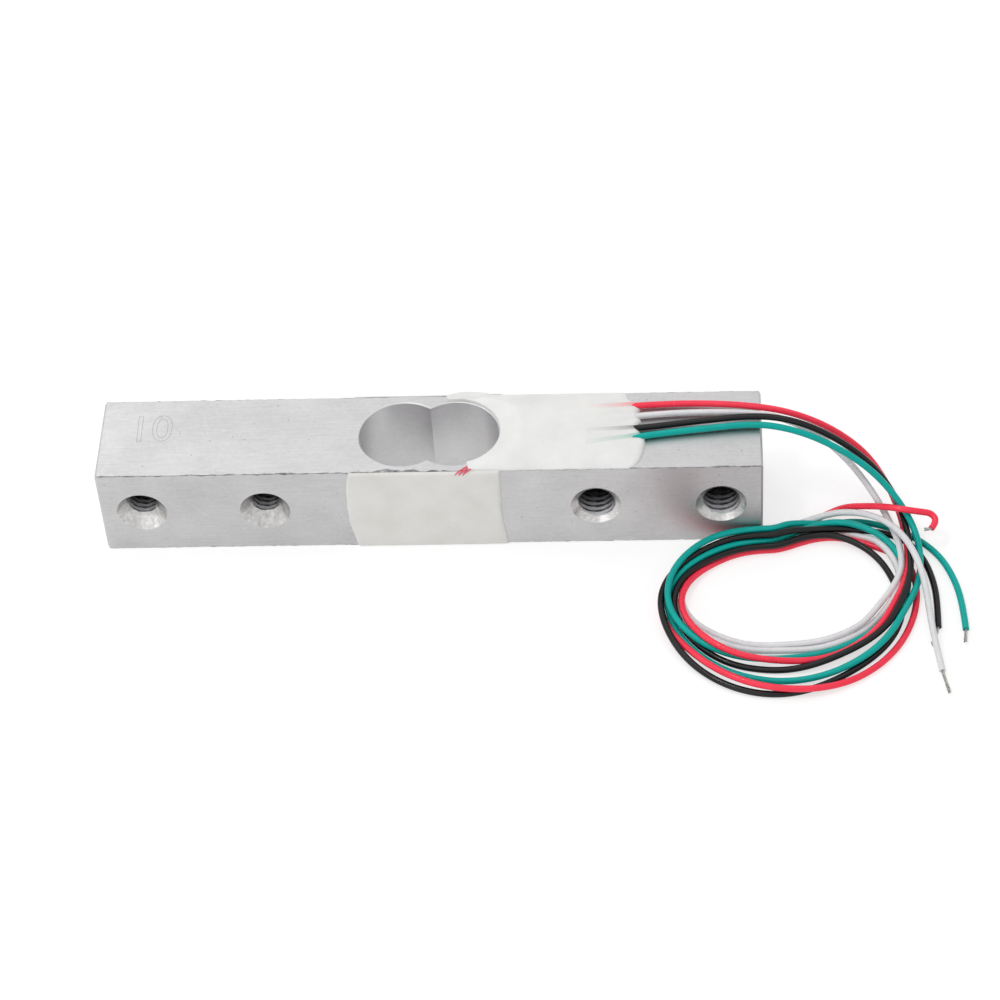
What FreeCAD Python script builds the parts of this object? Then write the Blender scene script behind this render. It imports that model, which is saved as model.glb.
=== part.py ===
import FreeCAD, Part
import math
import os
from FreeCAD import Vector

# Single point load cell: a square aluminium bar with a double bore that leaves two thin
# bending walls, strain gauges on both walls under silicone sealant, and four thin lead wires.
# Frame in millimetres: X along the bar, towards the wires. Y is the direction of the load and
# of the tapped holes. Z is up, along the double bore, with the bar lying on its side at Z = 0.

# Bar
BAR_LENGTH = 80.0
BAR_SIDE = 12.7
END_EDGE_BREAK = 0.25
BENDING_WALL = 1.05
BORE_CENTRES = 6.3

# Tapped holes: one pair at each end, cut through the bar along Y
HOLE_PITCH = 15.0
HOLE_END_MARGIN = 5.0
M4_DRILL_RADIUS = 1.65
M4_SINK_RADIUS = 3.05
M4_SINK_ANGLE = 90.0
M5_DRILL_RADIUS = 2.1
M5_SINK_RADIUS = 3.15
M5_SINK_ANGLE = 120.0

# Strain gauges
CARRIER_LENGTH = 4.6
CARRIER_WIDTH = 4.4
CARRIER_THICK = 0.06
FOIL_THICK = 0.03
GRID_LENGTH = 2.4
GRID_LEGS = 8
GRID_PITCH = 0.34
GRID_LEG_WIDTH = 0.17
GRID_LOOP_WIDTH = 0.3
TAB_LENGTH = 1.0
TAB_WIDTH = 0.95
TAB_GAP = 0.35
GAUGE_DOT_RADIUS = 0.42
GAUGE_DOT_HEIGHT = 0.24

# Enamelled jumper wires between the gauges and the terminal board
JUMPER_RADIUS = 0.09
JUMPER_CLEAR = 0.1
JUMPER_EDGE_RISE = 0.3
JUMPER_LANDING = 0.9
JUMPER_SPREAD = 0.3
# Way up the wall: places along the bar in bore radii, and up it in bar sides
JUMPER_WALL = {
    "left": [(-0.18, 0.732), (0.208, 0.858), (0.623, 0.961)],
    "middle": [(0.038, 0.661), (0.321, 0.819), (0.708, 0.957)],
    "right": [(0.274, 0.717), (0.491, 0.827), (0.792, 0.953)],
}
# Way over the edge and round the bore: places along the bar in bore radii, and across it in half sides
JUMPER_TOP = {
    "left": [(0.736, 1.0), (0.887, 0.929), (1.151, 0.740), (1.679, 0.409)],
    "middle": [(0.821, 1.0), (0.972, 0.934), (1.302, 0.795), (1.755, 0.567)],
    "right": [(0.906, 1.0), (1.057, 0.939), (1.396, 0.850), (1.811, 0.740)],
}

# Terminal board
BOARD_LENGTH = 6.4
BOARD_WIDTH = 8.6
BOARD_THICK = 0.4
BOARD_FROM_BORE = 4.05
PAD_THICK = 0.04
GAUGE_PAD_SIDE = 1.0
GAUGE_PAD_MARGIN = 0.05
LEAD_PAD_LENGTH = 1.8
LEAD_PAD_WIDTH = 1.4
LEAD_PAD_MARGIN = 0.6
PAD_END_MARGIN = 0.5
LEAD_DOT_RADIUS = 0.6
LEAD_DOT_HEIGHT = 0.5
JUMPER_DOT_RADIUS = 0.42
JUMPER_DOT_HEIGHT = 0.32

# Silicone sealant
GAUGE_COAT_THICK = 0.6
GAUGE_COAT_EDGE = 0.3
GAUGE_COAT_LEFT = -10.9
GAUGE_COAT_LEFT_BOW = 1.3
GAUGE_COAT_RIGHT = 9.2
GAUGE_COAT_RIGHT_SLANT = 0.6
TERMINAL_COAT_THICK = 1.25
TERMINAL_COAT_SIDE_EDGE = 0.65
TERMINAL_COAT_END_EDGE = 0.7
TERMINAL_COAT_END = 23.8
TERMINAL_COAT_BULGE = 1.8
TERMINAL_COAT_BACK_START = 1.9
TERMINAL_COAT_FRONT_START = 4.9
COAT_RIM_MARGIN = 0.12

# Lead wires: 0.8 mm outside diameter, tinned stranded core
WIRE_RADIUS = 0.4
CORE_RADIUS = 0.18
TIP_RADIUS = 0.21
LEAD_START_LIFT = 0.65

# Coil of the four leads beside the bar's corner, seen from above
COIL_PAST_END = 3.0
COIL_FROM_SIDE = 10.25
COIL_HEIGHT = 2.4
COIL_TOP_ROUND = 0.7
COIL_STEP = 20
# Radii every 20 degrees, clockwise from 20 degrees, dented where the turns lean on the bar's corner
COIL_OUTER = [15.8, 15.4, 15.1, 15.0, 14.9, 15.2, 15.5, 15.9, 16.0, 16.0, 16.0, 14.9, 13.3, 11.4, 10.4, 13.1,
              15.6, 16.0]
COIL_INNER = [12.2, 10.7, 9.5, 8.0, 7.2, 6.8, 6.8, 7.8, 9.3, 11.2, 12.5, 11.6, 9.8, 8.0, 7.2, 8.6, 10.9, 12.2]

# Lead routes, chosen by hand: from the terminal board over the bar's end and down into the coil
LEAD_ROUTES = {
    "white": [(25.4, 1.9, 13.2), (31.4, 2.3, 13.25), (37.4, 2.1, 13.3), (41.6, 1.7, 13.05), (46.0, 0.9, 11.3),
              (50.0, -0.1, 7.7), (53.0, -1.9, 4.1), (55.2, -5.7, 2.3), (56.5, -10.0, 1.6), (56.2, -14.2, 1.4)],
    "red": [(25.4, 3.7, 13.2), (32.7, 3.8, 13.3), (39.3, 3.1, 13.35), (44.0, 2.3, 12.8), (48.5, 1.7, 10.7),
            (52.6, 1.4, 6.8), (55.3, -0.6, 3.2), (56.7, -4.5, 1.7), (57.3, -9.3, 1.25), (57.0, -14.0, 1.2)],
    "black": [(25.4, -0.2, 13.2), (32.6, 0.7, 13.35), (39.4, 1.1, 13.8), (44.2, 0.4, 13.4), (48.7, -0.2, 11.1),
              (52.9, -0.7, 7.4), (55.7, -2.5, 4.1), (57.05, -6.0, 2.6), (57.55, -10.7, 2.1), (57.2, -15.3, 2.0)],
    "green": [(25.4, -1.5, 13.2), (32.6, -0.6, 13.3), (39.4, 0.1, 13.4), (44.2, -0.8, 13.0), (48.7, -1.7, 11.1),
              (52.9, -2.5, 8.0), (56.1, -4.2, 4.7), (58.2, -7.5, 2.7), (58.75, -11.5, 1.65), (58.2, -15.4, 1.3)],
}

# Tail routes: out of the coil to the stripped ends
TAIL_ROUTES = {
    "white": [(47.4, -4.0, 1.5), (50.3, -4.0, 2.1), (53.8, -5.8, 3.1), (56.6, -9.0, 3.5), (58.5, -12.9, 2.9),
              (59.5, -16.7, 1.8), (59.8, -21.2, 1.45), (60.0, -25.2, 0.9), (60.3, -28.1, 0.5)],
    "red": [(47.3, -3.4, 0.6), (49.8, -2.6, 1.4), (52.5, -4.0, 3.0), (54.8, -5.3, 4.2), (57.0, -6.2, 4.6),
            (58.8, -6.3, 4.3), (60.2, -6.2, 3.9), (60.8, -7.25, 3.55), (60.05, -8.2, 3.35)],
    "black": [(48.6, -6.0, 1.2), (51.7, -6.0, 0.9), (55.2, -6.4, 0.6), (57.8, -8.1, 0.5), (59.4, -11.1, 0.45),
              (60.2, -14.8, 0.43), (60.3, -18.3, 0.43), (60.2, -21.3, 0.43)],
    "green": [(48.0, -4.7, 0.6), (51.4, -4.4, 0.8), (54.9, -5.2, 0.6), (58.2, -6.8, 0.45), (61.1, -9.9, 0.43),
              (62.7, -14.1, 0.43), (63.3, -18.2, 0.43), (63.4, -21.7, 0.43)],
}
TIP_ENDS = {
    "white": (60.9, -31.4, 0.43),
    "red": (59.2, -8.2, 3.2),
    "black": (59.3, -24.1, 0.43),
    "green": (63.2, -23.7, 0.43),
}
WIRE_COLOURS = ["red", "white", "black", "green"]

# Derived places
HALF_LENGTH = BAR_LENGTH / 2
HALF_SIDE = BAR_SIDE / 2
BORE_RADIUS = HALF_SIDE - BENDING_WALL
BORE_X = BORE_CENTRES / 2
M4_HOLES = [-HALF_LENGTH + HOLE_END_MARGIN, -HALF_LENGTH + HOLE_END_MARGIN + HOLE_PITCH]
M5_HOLES = [HALF_LENGTH - HOLE_END_MARGIN - HOLE_PITCH, HALF_LENGTH - HOLE_END_MARGIN]
FOIL_Y = HALF_SIDE + CARRIER_THICK
DOT_Y = FOIL_Y + FOIL_THICK
GRID_HALF_HEIGHT = (GRID_LEGS - 1) * GRID_PITCH / 2 + GRID_LEG_WIDTH / 2
TAB_INNER_X = BORE_X - GRID_LENGTH / 2 - GRID_LOOP_WIDTH - TAB_LENGTH
TAB_X = TAB_INNER_X + TAB_LENGTH / 2
TAB_Z = TAB_GAP / 2 + TAB_WIDTH / 2
BOARD_X = BORE_X + BORE_RADIUS + BOARD_FROM_BORE
BOARD_TOP = BAR_SIDE + BOARD_THICK
PAD_TOP = BOARD_TOP + PAD_THICK
GAUGE_PAD_X = BOARD_X + PAD_END_MARGIN + GAUGE_PAD_SIDE / 2
LEAD_PAD_X = BOARD_X + BOARD_LENGTH - PAD_END_MARGIN - LEAD_PAD_LENGTH / 2
LEAD_START_X = BOARD_X + BOARD_LENGTH + JUMPER_CLEAR
LEAD_START_Z = BAR_SIDE + LEAD_START_LIFT
LEAD_PAD_PITCH = (BOARD_WIDTH - LEAD_PAD_WIDTH - 2 * LEAD_PAD_MARGIN) / 3
LEAD_PAD_Y = {c: (1.5 - i) * LEAD_PAD_PITCH for i, c in enumerate(WIRE_COLOURS)}
GAUGE_PAD_PITCH = (BOARD_WIDTH - GAUGE_PAD_SIDE - 2 * GAUGE_PAD_MARGIN) / 5
GAUGE_PAD_Y = [(2.5 - i) * GAUGE_PAD_PITCH for i in range(6)]
COIL_CENTRE = Vector(HALF_LENGTH + COIL_PAST_END, -HALF_SIDE - COIL_FROM_SIDE, 0)
FAR = 2 * BAR_LENGTH


def box(x0, x1, y0, y1, z0, z1):
    return Part.makeBox(x1 - x0, y1 - y0, z1 - z0, Vector(x0, y0, z0))


def mirrored(shape):
    return shape.mirror(Vector(0, 0, 0), Vector(0, 1, 0))


def filled(points):
    wire = Part.makePolygon(points + [points[0]])
    return Part.Face(wire)


def cornerArc(start, corner, end):
    # An arc tangent to both sides of a corner, and the straight rest of the longer side
    runIn = corner - start
    runOut = end - corner
    cut = min(runIn.Length, runOut.Length)
    unitIn = Vector(runIn).normalize()
    unitOut = Vector(runOut).normalize()
    halfTurn = unitIn.getAngle(unitOut) / 2
    radius = cut / math.tan(halfTurn)
    first = corner - unitIn * cut
    last = corner + unitOut * cut
    inward = (unitOut - unitIn).normalize()
    middle = corner + inward * (radius / math.cos(halfTurn) - radius)
    edges = [Part.Arc(first, middle, last).toShape()]
    if (first - start).Length > 0.001:
        edges.insert(0, Part.makeLine(start, first))
    if (end - last).Length > 0.001:
        edges.append(Part.makeLine(last, end))
    return edges


def bentPath(points):
    # Straight runs joined by tangent arcs, each as large as its two runs allow
    edges = []
    radii = []
    last = points[0]
    for before, corner, after in zip(points, points[1:], points[2:]):
        runIn = corner - before
        runOut = after - corner
        cut = 0.45 * min(runIn.Length, runOut.Length)
        unitIn = Vector(runIn).normalize()
        unitOut = Vector(runOut).normalize()
        halfTurn = unitIn.getAngle(unitOut) / 2
        radius = cut / math.tan(halfTurn)
        radii.append(radius)
        start = corner - unitIn * cut
        end = corner + unitOut * cut
        inward = (unitOut - unitIn).normalize()
        middle = corner + inward * (radius / math.cos(halfTurn) - radius)
        edges.append(Part.LineSegment(last, start).toShape())
        edges.append(Part.Arc(start, middle, end).toShape())
        last = end
    edges.append(Part.LineSegment(last, points[-1]).toShape())
    return Part.Wire(edges), radii


def tube(points, radius):
    path, radii = bentPath(points)
    circle = Part.makeCircle(radius, points[0], points[1] - points[0])
    solid = path.makePipeShell([Part.Wire(circle)], True, False)
    return solid, path.Length, radii


def straightTube(start, end, radius):
    return Part.makeCylinder(radius, (end - start).Length, start, end - start)


def largest(shape):
    return max(shape.Solids, key=lambda s: s.Volume)


def tappedHole(x, drillRadius, sinkRadius, sinkAngle):
    # Tap drill hole with a cone at each mouth, revolved about the hole's own axis along Y
    sinkDepth = (sinkRadius - drillRadius) / math.tan(math.radians(sinkAngle / 2))
    past = 1.0
    pastRadius = sinkRadius + past * (sinkRadius - drillRadius) / sinkDepth
    profile = filled([
        Vector(0, -HALF_SIDE - past, 0),
        Vector(pastRadius, -HALF_SIDE - past, 0),
        Vector(drillRadius, -HALF_SIDE + sinkDepth, 0),
        Vector(drillRadius, HALF_SIDE - sinkDepth, 0),
        Vector(pastRadius, HALF_SIDE + past, 0),
        Vector(0, HALF_SIDE + past, 0),
    ])
    tool = profile.revolve(Vector(0, 0, 0), Vector(0, 1, 0), 360)
    return tool.translated(Vector(x, 0, HALF_SIDE))


def makeBeam():
    bar = box(-HALF_LENGTH, HALF_LENGTH, -HALF_SIDE, HALF_SIDE, 0, BAR_SIDE)
    endEdges = []
    for edge in bar.Edges:
        low, high = edge.BoundBox.XMin, edge.BoundBox.XMax
        if high - low < 0.001:
            endEdges.append(edge)
    bar = bar.makeChamfer(END_EDGE_BREAK, endEdges)
    for x in (-BORE_X, BORE_X):
        bar = bar.cut(Part.makeCylinder(BORE_RADIUS, BAR_SIDE + 2, Vector(x, 0, -1)))
    for x in M4_HOLES:
        bar = bar.cut(tappedHole(x, M4_DRILL_RADIUS, M4_SINK_RADIUS, M4_SINK_ANGLE))
    for x in M5_HOLES:
        bar = bar.cut(tappedHole(x, M5_DRILL_RADIUS, M5_SINK_RADIUS, M5_SINK_ANGLE))
    return bar


# Gauges are drawn on the rear wall, side = +1 for the right-hand one, then mirrored to the front
def gaugeCarrier(side):
    inner = TAB_INNER_X - (CARRIER_LENGTH - TAB_LENGTH - 2 * GRID_LOOP_WIDTH - GRID_LENGTH) / 2
    x0, x1 = sorted((side * inner, side * (inner + CARRIER_LENGTH)))
    z0 = HALF_SIDE - CARRIER_WIDTH / 2
    return box(x0, x1, HALF_SIDE, FOIL_Y, z0, z0 + CARRIER_WIDTH)


def gaugeGrid(side):
    # One foil track folded back and forth along X, ending in two solder tabs
    y0, y1 = FOIL_Y, FOIL_Y + FOIL_THICK
    near = BORE_X - GRID_LENGTH / 2
    far = BORE_X + GRID_LENGTH / 2
    bottom = HALF_SIDE - (GRID_LEGS - 1) * GRID_PITCH / 2
    half = GRID_LEG_WIDTH / 2
    pieces = []
    for leg in range(GRID_LEGS):
        z = bottom + leg * GRID_PITCH
        start = near - GRID_LOOP_WIDTH if leg in (0, GRID_LEGS - 1) else near
        pieces.append(box(start, far, y0, y1, z - half, z + half))
        if leg == GRID_LEGS - 1:
            break
        loopX = far if leg % 2 == 0 else near - GRID_LOOP_WIDTH
        pieces.append(box(loopX, loopX + GRID_LOOP_WIDTH, y0, y1, z - half, z + GRID_PITCH + half))
    for up in (-1, 1):
        edge = HALF_SIDE + up * TAB_GAP / 2
        outer = HALF_SIDE + up * max(GRID_HALF_HEIGHT, TAB_GAP / 2 + TAB_WIDTH)
        z0, z1 = sorted((edge, outer))
        pieces.append(box(TAB_INNER_X, TAB_INNER_X + TAB_LENGTH, y0, y1, z0, z1))
    grid = pieces[0].multiFuse(pieces[1:]).removeSplitter()
    if side < 0:
        grid = grid.mirror(Vector(0, 0, 0), Vector(1, 0, 0))
    return grid


def dome(centre, radius, height, direction):
    # Solder bead: the cap of a ball, set on a pad
    ball = (radius * radius + height * height) / (2 * height)
    solid = Part.makeSphere(ball, centre - direction * (ball - height))
    below = Part.makeCylinder(2 * ball, 4 * ball, centre - direction * 4 * ball, direction)
    return solid.cut(below)


def gaugeDots():
    dots = []
    for side in (-1, 1):
        for up in (-1, 1):
            centre = Vector(side * TAB_X, DOT_Y, HALF_SIDE + up * TAB_Z)
            dots.append(dome(centre, GAUGE_DOT_RADIUS, GAUGE_DOT_HEIGHT, Vector(0, 1, 0)))
    return dots


def jumperRoute(side):
    # On the rear wall, up over the top edge and along the top face to the terminal board
    starts = {"left": (-TAB_X, TAB_Z), "middle": (0, -TAB_Z), "right": (TAB_X, TAB_Z)}
    pads = {"left": GAUGE_PAD_Y[2], "middle": GAUGE_PAD_Y[1], "right": GAUGE_PAD_Y[0]}
    onWall = DOT_Y + JUMPER_RADIUS + JUMPER_CLEAR
    onTop = BAR_SIDE + JUMPER_RADIUS + JUMPER_CLEAR
    x, z = starts[side]
    points = [Vector(x, onWall, HALF_SIDE + z)]
    for x, z in JUMPER_WALL[side]:
        points.append(Vector(x * BORE_RADIUS, onWall, z * BAR_SIDE))
    edge, *top = JUMPER_TOP[side]
    points.append(Vector(edge[0] * BORE_RADIUS, HALF_SIDE + JUMPER_EDGE_RISE, BAR_SIDE + JUMPER_EDGE_RISE))
    for x, y in top:
        points.append(Vector(x * BORE_RADIUS, y * HALF_SIDE, onTop))
    landing = Vector(BOARD_X - JUMPER_LANDING, pads[side] + JUMPER_SPREAD, BOARD_TOP)
    return points + [landing, Vector(GAUGE_PAD_X, pads[side], PAD_TOP + JUMPER_RADIUS)]


def gaugeLink():
    y = DOT_Y + JUMPER_RADIUS + JUMPER_CLEAR
    z = HALF_SIDE - TAB_Z
    return straightTube(Vector(-TAB_X, y, z), Vector(TAB_X, y, z), JUMPER_RADIUS)


def makeBoard():
    return box(BOARD_X, BOARD_X + BOARD_LENGTH, -BOARD_WIDTH / 2, BOARD_WIDTH / 2, BAR_SIDE, BOARD_TOP)


def makePads():
    pads = []
    half = GAUGE_PAD_SIDE / 2
    for y in GAUGE_PAD_Y:
        pads.append(box(GAUGE_PAD_X - half, GAUGE_PAD_X + half, y - half, y + half, BOARD_TOP, PAD_TOP))
    halfLong, halfWide = LEAD_PAD_LENGTH / 2, LEAD_PAD_WIDTH / 2
    for y in LEAD_PAD_Y.values():
        pads.append(box(LEAD_PAD_X - halfLong, LEAD_PAD_X + halfLong, y - halfWide, y + halfWide,
                        BOARD_TOP, PAD_TOP))
    return pads


def crowned(blank, across, along, thick, sideEdge, endEdge, centre, halfAcross, halfAlong):
    # Sealant surface: the blank cut down to two large arched surfaces over its middle
    for direction, edge, half in ((along, sideEdge, halfAcross), (across, endEdge, halfAlong)):
        drop = thick - edge
        radius = (half * half + drop * drop) / (2 * drop)
        up = along.cross(across)
        axisPoint = centre + up * (thick - radius) - direction * FAR / 2
        blank = blank.common(Part.makeCylinder(radius, FAR, axisPoint, direction))
    return largest(blank)


def gaugeCoat():
    # On the rear wall: left edge bowed, right edge slightly slanted
    y0, y1 = HALF_SIDE, HALF_SIDE + GAUGE_COAT_THICK + 0.5
    leftTop = Vector(GAUGE_COAT_LEFT, y0, BAR_SIDE)
    leftLow = Vector(GAUGE_COAT_LEFT + GAUGE_COAT_LEFT_BOW, y0, 0)
    leftMid = Vector(GAUGE_COAT_LEFT + 0.3 * GAUGE_COAT_LEFT_BOW, y0, HALF_SIDE)
    rightLow = Vector(GAUGE_COAT_RIGHT, y0, 0)
    rightTop = Vector(GAUGE_COAT_RIGHT - GAUGE_COAT_RIGHT_SLANT, y0, BAR_SIDE)
    outline = Part.Wire([
        Part.Arc(leftTop, leftMid, leftLow).toShape(),
        Part.makeLine(leftLow, rightLow),
        Part.makeLine(rightLow, rightTop),
        Part.makeLine(rightTop, leftTop),
    ])
    blank = Part.Face(outline).extrude(Vector(0, y1 - y0, 0))
    middle = (GAUGE_COAT_LEFT + GAUGE_COAT_RIGHT) / 2
    return crowned(blank, Vector(0, 0, 1), Vector(1, 0, 0).negative(), GAUGE_COAT_THICK, GAUGE_COAT_EDGE,
                   GAUGE_COAT_EDGE, Vector(middle, y0, HALF_SIDE), HALF_SIDE,
                   (GAUGE_COAT_RIGHT - GAUGE_COAT_LEFT) / 2)


def terminalCoat():
    # On the top face, wrapped round the right-hand bore, with a rounded end where the leads leave
    z = BAR_SIDE
    backLeft = Vector(TERMINAL_COAT_BACK_START, HALF_SIDE, z)
    backRight = Vector(TERMINAL_COAT_END, HALF_SIDE, z)
    bulge = Vector(TERMINAL_COAT_END + TERMINAL_COAT_BULGE, -0.8, z)
    frontRight = Vector(TERMINAL_COAT_END - 0.2, -HALF_SIDE, z)
    frontLeft = Vector(TERMINAL_COAT_FRONT_START, -HALF_SIDE, z)
    outline = Part.Wire([
        Part.makeLine(backLeft, backRight),
        Part.Arc(backRight, bulge, frontRight).toShape(),
        Part.makeLine(frontRight, frontLeft),
        Part.makeLine(frontLeft, backLeft),
    ])
    blank = Part.Face(outline).extrude(Vector(0, 0, TERMINAL_COAT_THICK + 0.5))
    rim = Part.makeCylinder(BORE_RADIUS + COAT_RIM_MARGIN, 10, Vector(BORE_X, 0, z - 1))
    blank = largest(blank.cut(rim))
    middle = (BORE_X + BORE_RADIUS + TERMINAL_COAT_END + TERMINAL_COAT_BULGE) / 2
    return crowned(blank, Vector(0, 1, 0), Vector(1, 0, 0), TERMINAL_COAT_THICK, TERMINAL_COAT_SIDE_EDGE,
                   TERMINAL_COAT_END_EDGE, Vector(middle, 0, z), HALF_SIDE,
                   TERMINAL_COAT_END + TERMINAL_COAT_BULGE - middle)


def coilOutline(radii):
    # A closed ring of tangent arcs round the stated radii
    points = []
    for i, radius in enumerate(radii):
        a = math.radians(COIL_STEP * (1 - i))
        points.append(COIL_CENTRE + Vector(radius * math.cos(a), radius * math.sin(a), 0))
    middles = [(a + b) / 2 for a, b in zip(points, points[1:] + points[:1])]
    edges = []
    for start, corner, end in zip(middles[-1:] + middles, points, middles):
        edges += cornerArc(start, corner, end)
    return Part.Wire(edges)


def makeCoil():
    outer = Part.Face(coilOutline(COIL_OUTER))
    inner = Part.Face(coilOutline(COIL_INNER))
    coil = outer.extrude(Vector(0, 0, COIL_HEIGHT)).cut(inner.extrude(Vector(0, 0, COIL_HEIGHT)))
    topEdges = [e for e in coil.Edges if e.BoundBox.ZMin > COIL_HEIGHT - 0.01]
    return coil.makeFillet(COIL_TOP_ROUND, topEdges)


def leadPoints(colour):
    start = Vector(LEAD_START_X, LEAD_PAD_Y[colour], LEAD_START_Z)
    return [start] + [Vector(*p) for p in LEAD_ROUTES[colour]]


def makeLead(colour, coil):
    points = leadPoints(colour)
    solid, length, radii = tube(points, WIRE_RADIUS)
    report(colour + " lead", solid, length, radii)
    return largest(solid.cut(coil))


def makeTail(colour, coil):
    points = [Vector(*p) for p in TAIL_ROUTES[colour]]
    solid, length, radii = tube(points, WIRE_RADIUS)
    report(colour + " tail", solid, length, radii)
    return largest(solid.cut(coil))


def report(name, solid, length, radii):
    ideal = math.pi * WIRE_RADIUS ** 2 * length
    print("%-12s length %6.1f  volume/ideal %.4f  radii %s"
          % (name, length, solid.Volume / ideal, " ".join("%.1f" % r for r in radii)))


def makeTip(colour, tail):
    start = Vector(*TAIL_ROUTES[colour][-1])
    return largest(straightTube(start, Vector(*TIP_ENDS[colour]), TIP_RADIUS).cut(tail))


def makeCore(colour):
    # Stripped end of a lead, from its insulation to its solder bead
    y = LEAD_PAD_Y[colour]
    return straightTube(Vector(LEAD_PAD_X, y, LEAD_START_Z), Vector(LEAD_START_X, y, LEAD_START_Z), CORE_RADIUS)


def build():
    nodes = {}
    nodes["beam"] = makeBeam()

    dots = gaugeDots()
    link = gaugeLink()
    jumpers = {side: tube(jumperRoute(side), JUMPER_RADIUS)[0] for side in JUMPER_WALL}
    carriers = {"left": gaugeCarrier(-1), "right": gaugeCarrier(1)}
    grids = {"left": gaugeGrid(-1), "right": gaugeGrid(1)}
    padDots = []
    for y in GAUGE_PAD_Y:
        padDots.append(dome(Vector(GAUGE_PAD_X, y, PAD_TOP), JUMPER_DOT_RADIUS, JUMPER_DOT_HEIGHT, Vector(0, 0, 1)))
    joints = Part.makeCompound(dots + padDots)
    link = largest(link.cut(joints))
    jumperLimits = Part.makeCompound([joints, link, makeBoard()] + makePads())
    for side in jumpers:
        jumpers[side] = largest(jumpers[side].cut(jumperLimits))

    walls = {"rear": lambda shape: shape, "front": mirrored}
    for wall, place in walls.items():
        for side in ("left", "right"):
            nodes["%s_%s_gauge_carrier" % (wall, side)] = place(carriers[side])
            nodes["%s_%s_gauge_foil" % (wall, side)] = place(grids[side])
        nodes["%s_gauge_solder" % wall] = Part.makeCompound([place(d) for d in dots])
        nodes["%s_gauge_link" % wall] = place(link)
        for side in ("left", "middle", "right"):
            nodes["%s_%s_jumper_wire" % (wall, side)] = place(jumpers[side])

    nodes["terminal_board"] = makeBoard()
    nodes["terminal_pads"] = Part.makeCompound(makePads())
    nodes["jumper_solder"] = Part.makeCompound(padDots)

    coil = makeCoil()
    nodes["wire_coil"] = coil
    cores = []
    for colour in WIRE_COLOURS:
        bead = dome(Vector(LEAD_PAD_X, LEAD_PAD_Y[colour], PAD_TOP), LEAD_DOT_RADIUS, LEAD_DOT_HEIGHT,
                    Vector(0, 0, 1))
        lead = makeLead(colour, coil)
        tail = makeTail(colour, coil)
        cores.append(largest(makeCore(colour).cut(Part.makeCompound([bead, lead]))))
        nodes[colour + "_solder_joint"] = bead
        nodes[colour + "_lead"] = lead
        nodes[colour + "_tail"] = tail
        nodes[colour + "_tip"] = makeTip(colour, tail)
    nodes["stripped_cores"] = Part.makeCompound(cores)

    buried = [s for n, s in nodes.items() if not n.endswith(("_tail", "_tip")) and n not in ("beam", "wire_coil")]
    coat = gaugeCoat()
    for wall, place in walls.items():
        inside = [s for n, s in nodes.items() if n.startswith(wall)]
        nodes["%s_gauge_sealant" % wall] = largest(place(coat).cut(inside))
    nodes["terminal_sealant"] = largest(terminalCoat().cut(buried))
    return nodes


def main():
    os.makedirs("parts", exist_ok=True)
    for name, shape in build().items():
        print("%-28s solids %d  valid %s  volume %.3f"
              % (name, len(shape.Solids), shape.isValid(), shape.Volume))
        shape.exportStep("parts/%s.step" % name)


main()
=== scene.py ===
import math
import bpy
import numpy as np
from mathutils import Matrix, Vector, kdtree, noise


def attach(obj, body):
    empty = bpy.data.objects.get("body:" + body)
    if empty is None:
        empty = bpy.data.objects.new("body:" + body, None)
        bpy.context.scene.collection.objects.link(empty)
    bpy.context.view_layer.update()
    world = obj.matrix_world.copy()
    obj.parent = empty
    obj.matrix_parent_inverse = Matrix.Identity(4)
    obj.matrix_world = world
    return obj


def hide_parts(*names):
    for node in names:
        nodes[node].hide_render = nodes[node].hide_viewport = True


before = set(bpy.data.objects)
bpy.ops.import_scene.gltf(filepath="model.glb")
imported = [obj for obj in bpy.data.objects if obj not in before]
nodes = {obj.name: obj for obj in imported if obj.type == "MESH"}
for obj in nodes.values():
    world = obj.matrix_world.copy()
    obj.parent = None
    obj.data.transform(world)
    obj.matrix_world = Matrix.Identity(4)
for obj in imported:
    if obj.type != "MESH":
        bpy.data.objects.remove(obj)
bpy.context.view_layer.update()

# Single point load cell: milled aluminium bar with a double bore, sealed strain gauges and four loose leads.
# Lengths in the dictionaries are millimetres, turned to metres where the meshes are made.
mm = 0.001
mixFirst, mixSecond, mixResult = 6, 7, 2  # the colour sockets of a Mix node
untinted = (1.0, 1.0, 1.0, 0.0)


def linearColour(hexText):
    # sRGB hex to linear RGBA
    parts = [int(hexText[i:i + 2], 16) / 255 for i in (1, 3, 5)]
    return tuple(c / 12.92 if c <= 0.04045 else ((c + 0.055) / 1.055) ** 2.4 for c in parts) + (1.0,)


def addNode(tree, kind, settings=None, links=None):
    # One shader node with its settings and incoming links; an input goes by its name or its number
    node = tree.nodes.new("ShaderNode" + kind)
    for name, value in (settings or {}).items():
        if isinstance(name, int) or name in node.inputs:
            node.inputs[name].default_value = value
        else:
            setattr(node, name, value)
    for name, socket in (links or {}).items():
        tree.links.new(socket, node.inputs[name])
    return node


def newMaterial(name, hexText, roughness, metallic=0.0, ior=None):
    # A material with one Principled shader, which keeps its default IOR if none is given
    material = bpy.data.materials.new(name)
    material.use_nodes = True
    shader = material.node_tree.nodes["Principled BSDF"]
    shader.inputs["Base Color"].default_value = linearColour(hexText)
    shader.inputs["Roughness"].default_value = roughness
    shader.inputs["Metallic"].default_value = metallic
    if ior:
        shader.inputs["IOR"].default_value = ior
    material.diffuse_color = linearColour(hexText)
    return material, material.node_tree, shader


def millimetres(tree, stretch=(1, 1, 1)):
    # Object coordinates counted in millimetres, stretched where a pattern is drawn out
    place = addNode(tree, "TexCoord")
    scale = tuple(1000 * s for s in stretch)
    return addNode(tree, "Mapping", {"Scale": scale}, {"Vector": place.outputs["Object"]}).outputs["Vector"]


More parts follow.
